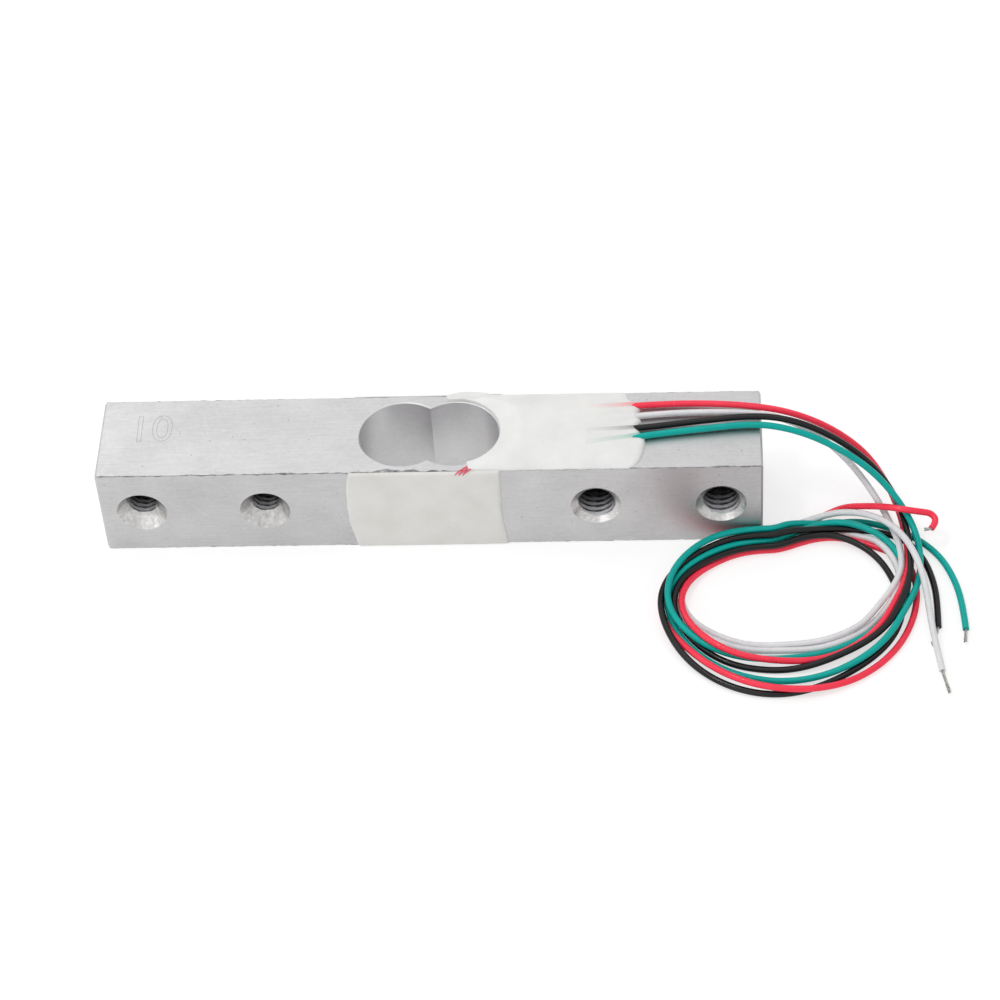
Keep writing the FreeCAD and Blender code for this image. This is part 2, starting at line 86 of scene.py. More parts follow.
def shadeBetween(tree, pattern, low, high, firstHex, secondHex):
    # A colour that goes from one shade to another as a pattern goes from low to high
    share = addNode(tree, "MapRange", {"From Min": low, "From Max": high}, {"Value": pattern})
    shades = {"data_type": "RGBA", mixFirst: linearColour(firstHex), mixSecond: linearColour(secondHex)}
    return addNode(tree, "Mix", shades, {0: share.outputs["Result"]}).outputs[mixResult]


def shadeOver(tree, mask, colour, hexText):
    # Another shade over a colour where a mask is 1
    shade = {"data_type": "RGBA", mixSecond: linearColour(hexText)}
    return addNode(tree, "Mix", shade, {0: mask, mixFirst: colour}).outputs[mixResult]


def finishSurface(tree, shader, colour, gloss, relief):
    # Gives the shader its colour, roughness and relief. gloss is a pattern, its low and high and the
    # roughness at each; relief is a pattern, its strength and its depth in millimetres.
    pattern, low, high, lowRoughness, highRoughness = gloss
    ends = {"From Min": low, "From Max": high, "To Min": lowRoughness, "To Max": highRoughness}
    roughness = addNode(tree, "MapRange", ends, {"Value": pattern})
    height, strength, depth = relief
    bump = addNode(tree, "Bump", {"Strength": strength, "Distance": depth * mm}, {"Height": height})
    tree.links.new(colour, shader.inputs["Base Color"])
    tree.links.new(roughness.outputs["Result"], shader.inputs["Roughness"])
    tree.links.new(bump.outputs["Normal"], shader.inputs["Normal"])


def placeObject(name, data):
    # Puts a mesh, curve, lamp or camera in the scene
    holder = bpy.data.objects.new(name, data)
    bpy.context.scene.collection.objects.link(holder)
    return holder


def showPiece(name, data, material, replaced=()):
    # Puts a finished mesh or curve in the scene as a piece of the load cell
    piece = placeObject(name, data)
    if material is not None:
        data.materials.append(material)
    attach(piece, "root")
    if replaced:
        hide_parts(*replaced)
    return piece


def newMesh(name, points, faces, materials=()):
    # A mesh from points in metres
    mesh = bpy.data.meshes.new(name)
    mesh.from_pydata(points, [], faces)
    for material in materials:
        mesh.materials.append(material)
    return mesh


def gridFaces(rows, columns, closed=False):
    # Quads over points that are numbered row by row; closed joins the last column to the first
    faces = []
    wrap = columns if closed else columns - 1
    for i in range(rows - 1):
        for j in range(wrap):
            k = (j + 1) % columns
            faces.append((i * columns + j, i * columns + k, (i + 1) * columns + k, (i + 1) * columns + j))
    return faces


def wander(x, y, z, size):
    # Smooth unevenness from -1 to 1 at a place in millimetres; a fixed number in it picks one pattern of many
    return noise.noise(Vector((x / size, y / size, z / size)))


# Camera, at the photograph's angle
camera = {
    "azimuth": 4.76,  # degrees to the left of straight on
    "elevation": 46.59,
    "roll": -4.38,
    "place": (31.13, -278.28, 296.02),
    "lens": 119.02,
    "sensor": 36.0,
    "clip": (0.01, 10.0),  # metres
}


def makeCamera():
    # Turned by the two angles, then rolled about its own line of sight
    azimuth, elevation, roll = (math.radians(camera[k]) for k in ("azimuth", "elevation", "roll"))
    forward = Vector((-math.sin(azimuth) * math.cos(elevation), math.cos(azimuth) * math.cos(elevation),
                      -math.sin(elevation)))
    level = Vector((math.cos(azimuth), math.sin(azimuth), 0))
    upright = level.cross(forward)
    right = math.cos(roll) * level + math.sin(roll) * upright
    up = -math.sin(roll) * level + math.cos(roll) * upright
    data = bpy.data.cameras.new("studioCamera")
    data.lens = camera["lens"]
    data.sensor_width = camera["sensor"]
    data.clip_start, data.clip_end = camera["clip"]
    stand = placeObject("studioCamera", data)
    stand.matrix_world = (Matrix.Translation(Vector(camera["place"]) * mm)
                          @ Matrix((right, up, -forward)).transposed().to_4x4())
    bpy.context.scene.camera = stand


makeCamera()
print("camera placed")


# Lead wires: thin insulated wires from the sealant to their stripped ends
leadWire = {
    "diameter": 0.8,
    "resolution": 8,  # steps of the drawn line between two control points
    "startX": 19.0,
    "startZ": 13.35,
    "exitX": 24.6,  # where a wire leaves the sealant
    "coilCentre": (43.0, -16.6),
    "coilStep": 10,  # degrees between a coil's points
    "coilTop": 2.3,  # highest middle of a turn
    "clearance": 0.82,  # between the middles of two turns that touch
    "settlings": 90,
    "perRun": 4,  # places between two control points where wires feel each other
    "push": 1.2,
    "stiffness": (0.25, 0.1),  # how much a wire evens out its bends: at first, and in the last fifth
    "settleBeyond": 24.0,  # only what lies past here along the bar and below settleBelow is pressed apart
    "settleBelow": 6.0,
    "limitStart": 20,  # the coil's limits go clockwise from this angle, one for each step
    "limitStep": 20,
    "innerSlack": 0.2,
    "coilInner": [12.2, 10.7, 9.5, 8.0, 7.2, 6.8, 6.8, 7.8, 9.3, 11.2, 12.5, 11.6, 9.8, 8.0, 7.2, 8.6, 10.9,
                  12.2],
    "coilOuter": [15.8, 15.4, 15.1, 15.0, 14.9, 15.2, 15.5, 15.9, 16.0, 16.0, 16.0, 14.9, 13.3, 11.4, 10.4,
                  13.1, 15.6, 16.0],
}

# For each wire: where it starts across the bar, its way over the bar's end, its turns as
# (angle, radius, height) clockwise round the coil, and its way out to the stripped end
wires = {
    "red": {
        "startY": 3.0,
        "lead": [(25.4, 3.7, 13.2), (32.7, 3.8, 13.3), (39.3, 3.1, 13.35), (44.0, 2.3, 12.8),
                 (48.5, 1.7, 10.7), (52.6, 1.4, 6.8), (55.3, -0.6, 3.2), (56.7, -4.5, 1.7),
                 (57.3, -9.3, 1.25), (57.0, -14.0, 1.2)],
        "turns": [(-20, 12.0, 1.2), (-60, 10.2, 0.4), (-100, 10.4, 1.2), (-140, 12.5, 2.0),
                  (-180, 13.1, 1.2), (-220, 10.4, 0.4), (-260, 8.15, 0.4), (-280, 9.3, 0.4),
                  (-300, 11.6, 0.4), (-340, 14.6, 0.4), (-380, 14.5, 0.4), (-420, 14.4, 0.4),
                  (-460, 14.6, 1.2), (-500, 14.8, 1.2), (-540, 15.4, 0.4), (-580, 12.85, 0.4),
                  (-620, 10.0, 0.4), (-635, 11.9, 0.4)],
        "tail": [(47.3, -3.4, 0.6), (49.8, -2.6, 1.4), (52.5, -4.0, 3.0), (54.8, -5.3, 4.2),
                 (57.0, -6.2, 4.6), (58.8, -6.3, 4.3), (60.2, -6.2, 3.9), (60.8, -7.25, 3.55),
                 (60.05, -8.2, 3.35)],
        "tip": (59.2, -8.2, 3.2),
    },
    "white": {
        "startY": 1.0,
        "lead": [(25.4, 1.9, 13.2), (31.4, 2.3, 13.25), (37.4, 2.1, 13.3), (41.6, 1.7, 13.05),
                 (46.0, 0.9, 11.3), (50.0, -0.1, 7.7), (53.0, -1.9, 4.1), (55.2, -5.7, 2.3),
                 (56.5, -10.0, 1.6), (56.2, -14.2, 1.4)],
        "turns": [(-20, 10.4, 0.8), (-60, 7.7, 0.4), (-100, 7.3, 0.4), (-140, 9.8, 0.4), (-180, 13.1, 0.4),
                  (-220, 11.2, 0.4), (-260, 8.95, 0.4), (-280, 10.5, 0.4), (-300, 12.6, 0.5),
                  (-340, 14.0, 0.4), (-380, 10.4, 0.4), (-420, 8.5, 0.4), (-460, 8.1, 0.4),
                  (-500, 10.6, 0.4), (-540, 13.9, 0.4), (-580, 12.0, 0.9), (-620, 9.7, 1.2),
                  (-635, 11.2, 1.3)],
        "tail": [(47.4, -4.0, 1.5), (50.3, -4.0, 2.1), (53.8, -5.8, 3.1), (56.6, -9.0, 3.5),
                 (58.3, -12.9, 2.9), (59.05, -16.7, 1.8), (59.3, -21.2, 1.5), (59.8, -25.2, 0.95),
                 (60.25, -28.1, 0.5)],
        "tip": (60.9, -31.4, 0.43),
    },
    "black": {
        "startY": -1.0,
        "lead": [(25.4, -0.2, 13.2), (32.6, 0.7, 13.35), (39.4, 1.1, 13.8), (44.2, 0.4, 13.4),
                 (48.7, -0.2, 11.1), (52.9, -0.7, 7.4), (55.7, -2.5, 4.1), (57.05, -6.0, 2.6),
                 (57.55, -10.7, 2.1), (57.2, -15.3, 2.0)],
        "turns": [(-20, 12.8, 2.0), (-60, 10.9, 1.2), (-100, 11.2, 0.4), (-140, 13.0, 0.6),
                  (-180, 13.95, 1.2), (-220, 10.4, 1.2), (-260, 8.1, 1.2), (-280, 9.5, 1.1),
                  (-300, 11.4, 0.8), (-340, 13.0, 0.4), (-380, 13.1, 0.4), (-420, 13.2, 0.4),
                  (-460, 15.0, 0.4), (-500, 15.5, 0.4), (-540, 15.4, 1.2), (-580, 12.0, 1.6),
                  (-620, 9.2, 1.95), (-635, 10.6, 1.6)],
        "tail": [(48.6, -6.0, 1.2), (51.7, -6.0, 0.9), (55.2, -6.4, 0.6), (57.8, -8.1, 0.5),
                 (59.4, -11.1, 0.45), (60.2, -14.8, 0.43), (60.3, -18.3, 0.43), (60.2, -21.3, 0.43)],
        "tip": (59.3, -24.1, 0.43),
    },
    "green": {
        "startY": -3.0,
        "lead": [(25.4, -1.5, 13.2), (32.6, -0.6, 13.3), (39.4, 0.1, 13.4), (44.2, -0.8, 13.0),
                 (48.7, -1.7, 11.1), (52.9, -2.5, 8.0), (56.1, -4.2, 4.7), (58.2, -7.5, 2.7),
                 (58.75, -11.5, 1.65), (58.2, -15.4, 1.3)],
        "turns": [(-20, 13.4, 2.0), (-60, 12.7, 1.0), (-100, 12.9, 0.4), (-140, 13.9, 0.4),
                  (-180, 14.7, 0.4), (-220, 11.2, 1.2), (-260, 8.9, 1.2), (-280, 10.4, 1.2),
                  (-300, 12.4, 1.2), (-340, 14.7, 1.0), (-380, 11.4, 1.0), (-420, 9.3, 0.4),
                  (-460, 9.4, 0.4), (-500, 12.5, 1.2), (-540, 14.7, 1.4), (-580, 12.8, 2.0),
                  (-620, 10.0, 1.95), (-635, 11.5, 1.5)],
        "tail": [(48.0, -4.7, 0.6), (51.4, -4.4, 0.8), (54.9, -5.2, 0.6), (58.2, -6.8, 0.45),
                 (61.1, -9.9, 0.43), (62.7, -14.1, 0.43), (63.3, -18.2, 0.43), (63.4, -21.7, 0.43)],
        "tip": (63.2, -23.7, 0.43),
    },
}


def alongTurns(turns, angle):
    # Radius and height at an angle, on a smooth cubic line through the chosen places
    angles = [t[0] for t in turns]
    i = max(k for k in range(len(turns) - 1) if angles[k] >= angle)
    step = angles[i + 1] - angles[i]
    t = (angle - angles[i]) / step
    found = []
    for c in (1, 2):
        values = [turn[c] for turn in turns]

        def slope(k):
            low, high = max(0, k - 1), min(len(values) - 1, k + 1)
            return (values[high] - values[low]) / (angles[high] - angles[low]) * step

        found.append((2 * t ** 3 - 3 * t * t + 1) * values[i] + (t ** 3 - 2 * t * t + t) * slope(i)
                     + (3 * t * t - 2 * t ** 3) * values[i + 1] + (t ** 3 - t * t) * slope(i + 1))
    return found


def coilPoints(turns):
    # A wire's points round the coil, before they are pressed apart
    cx, cy = leadWire["coilCentre"]
    points = []
    for angle in range(turns[0][0], turns[-1][0] - 1, -leadWire["coilStep"]):
        radius, height = alongTurns(turns, angle)
        a = math.radians(angle)
        points.append((cx + radius * math.cos(a), cy + radius * math.sin(a),
                       max(leadWire["diameter"] / 2, height)))
    return points


def splineWeights(count, perRun):
    # Places along a quadratic spline that ends at its first and last control points
    rows = []
    for i in range(count - 2):
        for t in np.arange(0, 1, 1 / perRun):
            row = np.zeros(count)
            row[i] += (1 - t) ** 2 * (1 if i == 0 else 0.5)
            row[i + 1] += (1 - t) ** 2 * (0 if i == 0 else 0.5) + 2 * t * (1 - t)
            row[i + 1] += t * t * (0 if i == count - 3 else 0.5)
            row[i + 2] += t * t * (1 if i == count - 3 else 0.5)
            rows.append(row)
    rows.append(np.eye(count)[-1])
    return np.array(rows)


def keepInLimits(points):
    # Keeps a wire's points above the table and between the coil's inner and outer limits
    radius = leadWire["diameter"] / 2
    centre = np.array(leadWire["coilCentre"])
    points[:, 2] = np.clip(points[:, 2], radius, leadWire["coilTop"])
    away = points[:, :2] - centre
    reach = np.hypot(*away.T)
    angle = np.degrees(np.arctan2(away[:, 1], away[:, 0]))
    count = len(leadWire["coilInner"])
    turn = (leadWire["limitStart"] - angle) / leadWire["limitStep"] % count
    inner, outer = (np.interp(turn, range(count + 1), leadWire[k] + leadWire[k][:1])
                    for k in ("coilInner", "coilOuter"))
    kept = np.clip(reach, inner - leadWire["innerSlack"], outer - radius)
    points[:, :2] = centre + away * (kept / reach)[:, None]
    return points


def settleCoil():
    # The turns of all four wires are pressed apart until they lie on and beside each other
    perRun = leadWire["perRun"]
    strands = []
    for colour, wire in wires.items():
        lead = [(leadWire["startX"], wire["startY"], leadWire["startZ"])] + wire["lead"]
        coil = coilPoints(wire["turns"])
        points = np.array(lead + coil + wire["tail"], float)
        free = slice(len(lead), len(lead) + len(coil))
        strands.append({"colour": colour, "points": points, "wish": points.copy(), "free": free,
                        "weights": splineWeights(len(points), perRun)})
    owner = np.concatenate([np.full(len(s["weights"]), k) for k, s in enumerate(strands)])
    order = np.concatenate([np.arange(len(s["weights"])) for s in strands])
    starts = np.cumsum([0] + [len(s["weights"]) for s in strands])
    gap = leadWire["clearance"]
    for settling in range(leadWire["settlings"]):
        line = np.vstack([s["weights"] @ s["points"] for s in strands])
        low = np.where((line[:, 2] < leadWire["settleBelow"]) & (line[:, 0] > leadWire["settleBeyond"]))[0]
        tree = kdtree.KDTree(len(low))
        for i in low:
            tree.insert(line[i], int(i))
        tree.balance()
        push = np.zeros_like(line)
        touched = np.zeros(len(line))
        for i in low:
            for _, j, distance in tree.find_range(line[i], gap):
                if j <= i or (owner[i] == owner[j] and abs(order[i] - order[j]) < 3 * perRun):
                    continue
                shift = (line[i] - line[j]) / (distance + 1e-9) * (gap - distance) / 2
                push[i] += shift
                push[j] -= shift
                touched[i] += 1
                touched[j] += 1
        push /= np.maximum(1, touched)[:, None] ** 0.5
        for k, s in enumerate(strands):
            part = push[starts[k]:starts[k + 1]]
            moved = s["weights"].T @ part
            share = s["weights"].T @ (np.abs(part).sum(1) > 0)
            moved /= np.maximum(share, 1)[:, None]
            free = s["free"]
            s["points"][free] += leadWire["push"] * moved[free]
            change = s["points"] - s["wish"]
            smooth = change.copy()
            smooth[1:-1] = change[1:-1] / 2 + (change[:-2] + change[2:]) / 4
            stiff = leadWire["stiffness"][0 if settling < 0.8 * leadWire["settlings"] else 1]
            s["points"][free] = keepInLimits((s["wish"] + (1 - stiff) * change + stiff * smooth)[free])
    return {s["colour"]: s["points"] for s in strands}


def wireCurve(name, diameter, bevel, resolution):
    # A curve with a round section, to hold splines
    curve = bpy.data.curves.new(name, "CURVE")
    curve.dimensions = "3D"
    curve.bevel_depth = diameter / 2 * mm
    curve.bevel_resolution = bevel
    curve.resolution_u = resolution
    curve.use_fill_caps = True
    return curve


def wireSpline(curve, points):
    # A quadratic spline that starts and ends at its first and last points
    spline = curve.splines.new("NURBS")
    spline.points.add(len(points) - 1)
    for control, point in zip(spline.points, points):
        control.co = tuple(c * mm for c in point) + (1.0,)
    spline.order_u = 3
    spline.use_endpoint_u = True


def wireMaterial(name, hexText, shadeHex, roughness, shine, translucent=0.0):
    # Extruded PVC insulation: smooth, with a soft shine and the slight waviness of an extruded skin
    material, tree, shader = newMaterial(name, hexText, roughness, ior=1.52)
    place = millimetres(tree)
    # A wave about every 2 mm and a skin grain of about 1 mm
    waviness = addNode(tree, "TexNoise", {"Scale": 0.45, "Detail": 2.0}, {"Vector": place})
    colour = shadeBetween(tree, waviness.outputs["Fac"], 0.3, 0.7, hexText, shadeHex)
    skin = addNode(tree, "TexNoise", {"Scale": 1.1, "Detail": 1.0}, {"Vector": place}).outputs["Fac"]
    finishSurface(tree, shader, colour, (skin, 0.3, 0.7, roughness - 0.05, roughness + 0.07),
                  (skin, 0.2, 0.01))
    shader.inputs["Specular IOR Level"].default_value = shine
    if translucent:
        shader.inputs["Subsurface Weight"].default_value = translucent
        shader.inputs["Subsurface Radius"].default_value = (0.5 * mm, 0.5 * mm, 0.45 * mm)
        shader.inputs["Subsurface Scale"].default_value = 1.0
    return material


insulation = {
    "red": wireMaterial("extrudedPvcRed", "#ff3853", "#f8304b", 0.22, 0.33),
    "white": wireMaterial("extrudedPvcWhite", "#e6e6e8", "#dcdcdf", 0.25, 0.4, translucent=0.15),
    "black": wireMaterial("extrudedPvcBlack", "#121214", "#0e0e10", 0.2, 0.28),
    "green": wireMaterial("extrudedPvcGreen", "#00ada4", "#00a59b", 0.2, 0.18),
}


def makeTinnedStrands():
    # Tinned copper, drawn and twisted: dull silver with fine lengthwise lines
    material, tree, shader = newMaterial("tinnedCopperDrawn", "#a8a6a2", 0.38, 1.0)
    place = millimetres(tree, (1, 0.25, 1))
    grain = addNode(tree, "TexNoise", {"Scale": 6.0, "Detail": 4.0}, {"Vector": place})
    colour = shadeBetween(tree, grain.outputs["Fac"], 0, 1, "#8f8d8a", "#bdbbb6")
    tree.links.new(colour, shader.inputs["Base Color"])
    return material


tinnedStrands = makeTinnedStrands()

strippedEnd = {
    "strands": 7,
    "strandDiameter": 0.13,
    "bundleRadius": 0.125,
    "twistLength": 3.2,
    "fray": 0.05,
    "insideWire": 0.3,  # how far the strands reach back into the insulation
    "bow": 0.22,  # shares of the end's length
    "uneven": 0.1,
}


def makeStrippedEnd(colour, start, before, end):
    # Seven twisted strands, bent a little and splayed at the cut
    start, before, end = Vector(start), Vector(before), Vector(end)
    leave = (start - before).normalized()
    length = (end - start).length
    curve = wireCurve(colour + "StrippedEnd", strippedEnd["strandDiameter"], 2, 3)
    for strand in range(strippedEnd["strands"]):
        points = []
        steps = 12
        for i in range(steps + 1):
            t = i / steps
            middle = start.lerp(end, t) + leave * (length * strippedEnd["bow"] * t * (1 - t) ** 2)
            if i == 0:
                middle = start - leave * strippedEnd["insideWire"]
            axis = (end - start).normalized()
            side = axis.cross(Vector((0, 0, 1))).normalized()
            top = side.cross(axis)
            radius = 0 if strand == 0 else strippedEnd["bundleRadius"] + strippedEnd["fray"] * t ** 3
            turn = 2 * math.pi * (strand / 6 + t * length / strippedEnd["twistLength"])
            short = strippedEnd["uneven"] * length * (0.5 + 0.5 * math.sin(strand * 2.4)) * t
            point = middle + side * radius * math.cos(turn) + top * radius * math.sin(turn) - axis * short
            point.z = max(point.z, strippedEnd["strandDiameter"] / 2 + 0.01)
            points.append(point)
        wireSpline(curve, points)
    return showPiece(colour + "_stripped_end", curve, tinnedStrands, [colour + "_tip"])


def splineLength(points):
    # Length in millimetres of the spline through these control points
    line = splineWeights(len(points), leadWire["resolution"]) @ points
    return float(np.linalg.norm(np.diff(line, axis=0), axis=1).sum())


settledWires = settleCoil()


def makeLeadWire(colour):
    # One spline from the sealant to the stripped end, with that end as its own piece
    points = settledWires[colour]
    curve = wireCurve(colour + "LeadWire", leadWire["diameter"], 5, leadWire["resolution"])
    wireSpline(curve, points)
    replaced = [colour + "_lead", colour + "_tail", "wire_coil"]
    piece = showPiece(colour + "_lead_wire", curve, insulation[colour], replaced)
    end = makeStrippedEnd(colour, points[-1], points[-2], wires[colour]["tip"])
    length = splineLength(points)
    print(colour, "lead wire", round(length, 1), "mm")


for wireColour in wires:
    makeLeadWire(wireColour)


# Bar: milled blank with worn edges, two bores and four tapped holes
bar = {
    "length": 80.0,
    "side": 12.7,
    "station": 0.4,  # spacing of the worn edge's sections
    "edgeWear": 0.07,
    "edgeWander": 0.13,
    "torn": (-2.8, 7.0, 0.2),  # top edge beside the thin front wall: middle, reach and extra wear
    "endBreak": 0.25,
    "boreRadius": 5.3,
    "boreX": 3.15,
    "boreRimBreak": 0.13,
}

# places along the bar, radii of the thread, its pitch, radius and angle of the countersunk mouths
tappedHoles = [
    {"places": (-35.0, -20.0), "major": 1.86, "minor": 1.6, "pitch": 0.7, "sink": 3.05, "sinkAngle": 78.0},
    {"places": (20.0, 35.0), "major": 2.34, "minor": 2.1, "pitch": 0.8, "sink": 3.05, "sinkAngle": 102.0},
]
# Painted shade inside the tapped holes: its colour, and the depths below the face where it begins and where
# it is full
paintedHoleShade = {"hex": "#2c2c2e", "from": 0.6, "full": 4.0}  # depths below the face


def makeBarMetal(name, hexText, shadeHex, roughness, stretch, lineSize, bumpDepth, nicks=0.0):
    # Aluminium, base of every machined face; stretch draws the tool marks out along one direction
    material, tree, shader = newMaterial(name, hexText, roughness, 1.0)
    place = millimetres(tree)
    lines = addNode(tree, "TexNoise", {"Scale": 1 / lineSize, "Detail": 4.0, "Roughness": 0.6},
                    {"Vector": millimetres(tree, stretch)}).outputs["Fac"]
    clouds = addNode(tree, "TexNoise", {"Scale": 1 / 7.0, "Detail": 5.0, "Roughness": 0.55},
                     {"Vector": place})
    grain = addNode(tree, "TexNoise", {"Scale": 1 / 0.45, "Detail": 3.0, "Roughness": 0.7},
                    {"Vector": millimetres(tree, (0.8, 1, 1))})
    # Tool lines, grain and clouds add up to one tone, by these shares
    tone = addNode(tree, "Math", {"operation": "MULTIPLY", 1: 0.3}, {0: lines})
    for share, pattern in ((0.3, grain), (0.4, clouds)):
        tone = addNode(tree, "Math", {"operation": "MULTIPLY_ADD", 1: share},
                       {0: pattern.outputs["Fac"], 2: tone.outputs[0]})
    tone = tone.outputs[0]
    low, high = 0.36, 0.64
    colour = shadeBetween(tree, tone, low, high, shadeHex, hexText)
    if nicks:
        pits = addNode(tree, "TexVoronoi", {"Scale": 1 / 1.6, "Randomness": 1.0}, {"Vector": place})
        ends = {"From Min": 0.05, "From Max": 0.075, "To Min": nicks, "To Max": 0.0}
        pitMask = addNode(tree, "MapRange", ends, {"Value": pits.outputs["Distance"]})
        colour = shadeOver(tree, pitMask.outputs["Result"], colour, "#77777a")
    finishSurface(tree, shader, colour, (tone, low, high, roughness + 0.07, roughness - 0.06),
                  (lines, 0.5, bumpDepth))
    return material


def paintShadeInHoles(material):
    # Painted shade: the thread's colour darkens with depth below the face, standing in for the shade that
    # falls inside the hole
    tree = material.node_tree
    shader = tree.nodes["Principled BSDF"]
    metal = shader.inputs["Base Color"].links[0].from_socket
    across = addNode(tree, "SeparateXYZ", None, {"Vector": millimetres(tree)})
    off = addNode(tree, "Math", {"operation": "ABSOLUTE"}, {0: across.outputs["Y"]})
    face = bar["side"] / 2
    ends = {"From Min": face - paintedHoleShade["full"], "From Max": face - paintedHoleShade["from"],
            "To Min": 1.0, "To Max": 0.0}
    inside = addNode(tree, "MapRange", ends, {"Value": off.outputs[0]})
    # Painted shade over the thread's metal, full deep in the hole
    colour = shadeOver(tree, inside.outputs["Result"], metal, paintedHoleShade["hex"])
    tree.links.new(colour, shader.inputs["Base Color"])


# Milled aluminium: satin faces, lines drawn out along the bar, light cloudiness and a few pits
barMilled = makeBarMetal("aluminiumMilled", "#c8c7c8", "#b7b6b7", 0.44, (0.06, 1, 1), 0.22, 0.012, nicks=0.6)
# Bored aluminium: rings round the bore, a little shinier than the faces
barBored = makeBarMetal("aluminiumBored", "#dddcdd", "#d1d0d1", 0.33, (0.12, 0.12, 1), 0.16, 0.004)
# Countersunk aluminium: bright chattered cone
barCountersunk = makeBarMetal("aluminiumCountersunk", "#dcdbda", "#9d9c9a", 0.3, (1, 0.3, 1), 0.45, 0.05)
# Tapped aluminium: cut threads, with painted shade deeper in the hole
barTapped = makeBarMetal("aluminiumTapped", "#b4b4b7", "#99999c", 0.42, (0.3, 1, 0.3), 0.2, 0.006)
paintShadeInHoles(barTapped)
# Burred edge: dull grey line where the cutter left the metal torn
barEdge = makeBarMetal("aluminiumBurredEdge", "#a2a2a4", "#4f4f52", 0.5, (0.4, 1, 1), 0.45, 0.03)
# Stamped lines: pressed metal, a shade darker than the faces
barStamped = makeBarMetal("aluminiumStamped", "#b9b9bb", "#a2a2a4", 0.45, (1, 1, 1), 0.3, 0.005)


def barSection(x, inset):
    # Four corners, each worn to a small uneven flat
    half = bar["side"] / 2
    corners = [(-1, 1, 1.35), (1, 1, 0.8), (1, -1, 0.7), (-1, -1, 1.0)]  # side, height and share of the wear
    section = []
    middle, reach, extra = bar["torn"]
    for index, (sy, sz, share) in enumerate(corners):
        wear = []
        torn = extra * max(0.0, 1 - abs((x - middle) / reach)) ** 0.5 if index == 0 else 0.0
        for flat in (0, 1):
            rough = wander(x, 10 * index + 5 * flat, 0, 1.1) + 0.6 * wander(x, 10 * index + 5 * flat, 7, 0.35)
            wear.append(share * max(0.02, bar["edgeWear"] + bar["edgeWander"] * rough + torn * (0.6 + rough)))
        yFlat = Vector((x, sy * (half - inset), half + sz * (half - inset - wear[0])))
        zFlat = Vector((x, sy * (half - inset - wear[1]), half + sz * (half - inset)))
        section += [yFlat, zFlat] if index in (0, 2) else [zFlat, yFlat]
    return section


def makeBlank():
    # The bar before it is bored and tapped, as a loft of its sections
    half = bar["length"] / 2
    count = int(bar["length"] / bar["station"])
    stations = [-half] + [-half + bar["endBreak"] + i * (bar["length"] - 2 * bar["endBreak"]) / count
                          for i in range(count + 1)] + [half]
    points = []
    for x in stations:
        inset = bar["endBreak"] if abs(abs(x) - half) < 1e-6 else 0
        points += [p * mm for p in barSection(x, inset)]
    rows = len(stations)
    # Worn edges and end chamfers are strips of quads; each broad side is one flat face
    faces, burred = [], []
    for i in range(rows - 1):
        for j in range(8):
            if j % 2 == 0 or i in (0, rows - 2):
                k = (j + 1) % 8
                faces.append(((i + 1) * 8 + j, (i + 1) * 8 + k, i * 8 + k, i * 8 + j))
                burred.append(j % 2 == 0 and 0 < i < rows - 2)
    for j in (1, 3, 5, 7):
        k = (j + 1) % 8
        faces.append(tuple(i * 8 + j for i in range(1, rows - 1))
                     + tuple(i * 8 + k for i in range(rows - 2, 0, -1)))
    faces += [tuple(range(8)), tuple(reversed(range((rows - 1) * 8, rows * 8)))]
    mesh = newMesh("barBlank", points, faces, (barMilled, barEdge))
    mesh.update()
    for face, edge in zip(mesh.polygons, burred):
        face.material_index = 1 if edge else 0
    return mesh


def tapSurface(hole, x):
    # The whole inside of a tapped hole: helical thread and both countersunk mouths, as one closed cutter
    half = bar["side"] / 2
    slope = math.tan(math.radians(hole["sinkAngle"] / 2))
    around, rowsPerPitch, beyond = 64, 9, 0.4
    rows = int(bar["side"] / hole["pitch"] * rowsPerPitch)
    ys = [-half - beyond] + [-half + bar["side"] * i / rows for i in range(rows + 1)] + [half + beyond]
    points, depths = [], []
    for y in ys:
        inside = half - abs(y)
        for k in range(around):
            angle = 2 * math.pi * k / around
            turn = (y / hole["pitch"] - k / around) % 1.0
            groove = min(1.0, max(0.0, 1.25 * abs(2 * turn - 1) - 0.12))  # V with flats at crest and root
            thread = hole["minor"] + (hole["major"] - hole["minor"]) * groove
            if inside <= 0:
                cone = hole["sink"]
            else:
                chatter = (0.02 * math.sin(9 * angle + 3 * wander(x, inside, 0, 1.0))
                           + 0.03 * wander(x + 2 * math.cos(angle), 2 * math.sin(angle), inside, 0.7))
                cone = hole["sink"] - inside * slope + chatter * min(1, inside / 0.2)  # clean at the mouth
            radius = max(thread, cone)
            depths.append(1 if cone > thread else 0)
            points.append(Vector((x + radius * math.cos(angle), y, half + radius * math.sin(angle))) * mm)
    faces = [tuple(reversed(f)) for f in gridFaces(len(ys), around, closed=True)]
    kinds = [1 if depths[f[0]] + depths[f[2]] > 1 else 0 for f in faces]
    faces += [tuple(range(around)), tuple(reversed(range(len(points) - around, len(points))))]
    mesh = newMesh("tap", points, faces, (barTapped, barCountersunk))
    for face, kind in zip(mesh.polygons, kinds + [0, 0]):
        face.material_index = kind
        face.use_smooth = True
    return mesh


